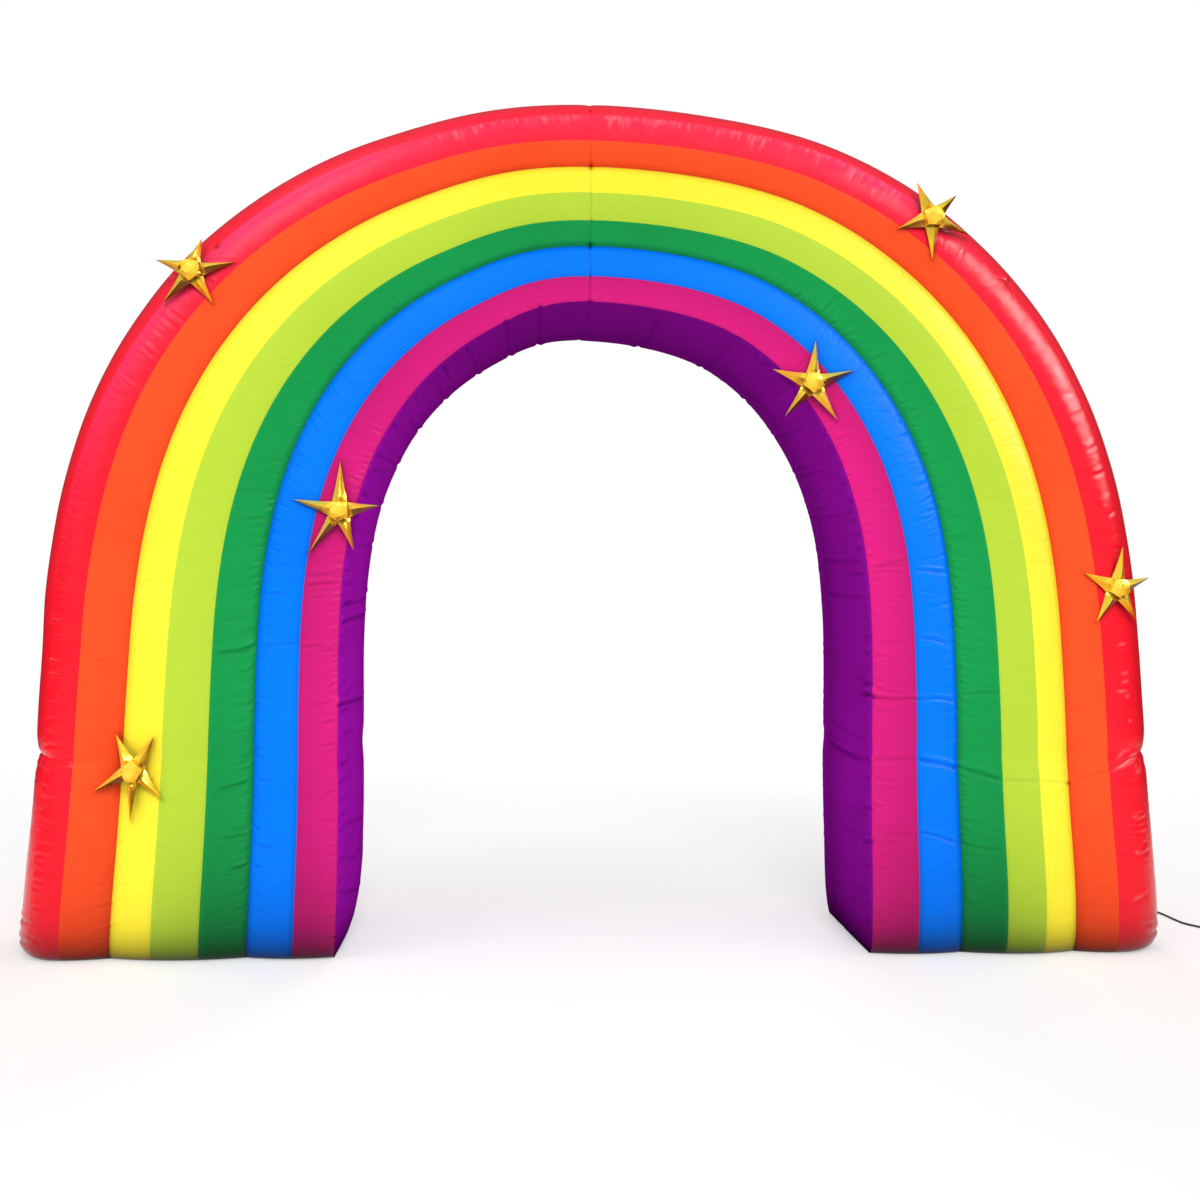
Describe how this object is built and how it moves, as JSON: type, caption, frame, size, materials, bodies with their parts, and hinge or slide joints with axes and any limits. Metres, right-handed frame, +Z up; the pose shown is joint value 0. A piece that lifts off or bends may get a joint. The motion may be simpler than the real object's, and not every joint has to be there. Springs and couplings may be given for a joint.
{
  "type": "inflatable arch",
  "caption": "Free-standing inflatable rainbow arch of sewn, air-filled cloth bands, with gold foil stars on its front, a small blower in one leg and its mains lead.",
  "frame": {"origin": "on the floor, at the middle of the arch's width and depth", "axes": "+X across the arch towards the leg with the blower, +Y from the starred front to the back, +Z up"},
  "size_m": [3.3811, 0.7351, 2.2139],
  "materials": {
    "red_cloth": "glossy coated polyester",
    "orange_cloth": "glossy coated polyester",
    "yellow_cloth": "glossy coated polyester",
    "lime_cloth": "glossy coated polyester",
    "green_cloth": "glossy coated polyester",
    "blue_cloth": "glossy coated polyester",
    "magenta_cloth": "glossy coated polyester",
    "purple_cloth": "glossy coated polyester",
    "gold_foil": "mirror-like metallised film",
    "housing_plastic": "fine matt",
    "guard_plastic": "satin",
    "lead_rubber": "satin",
    "blade_brass": "plated"
  },
  "bodies": {
    "root": {"red_left": "red_cloth", "red_right": "red_cloth", "orange_left": "orange_cloth", "orange_right": "orange_cloth", "yellow_left": "yellow_cloth", "yellow_right": "yellow_cloth", "lime_left": "lime_cloth", "lime_right": "lime_cloth", "green_left": "green_cloth", "green_right": "green_cloth", "blue_left": "blue_cloth", "blue_right": "blue_cloth", "magenta_left": "magenta_cloth", "magenta_right": "magenta_cloth", "purple_left": "purple_cloth", "purple_right": "purple_cloth", "star_rim_left": "gold_foil", "star_rim_right": "gold_foil", "star_inner_left": "gold_foil", "star_inner_right": "gold_foil", "star_leg_left": "gold_foil", "star_leg_right": "gold_foil", "blower_housing": "housing_plastic", "blower_guard": "guard_plastic", "strain_relief": "guard_plastic", "mains_lead": "lead_rubber", "lead_coil": "lead_rubber", "plug_body": "lead_rubber", "plug_blade_left": "blade_brass", "plug_blade_right": "blade_brass"}
  },
  "joints": []
}
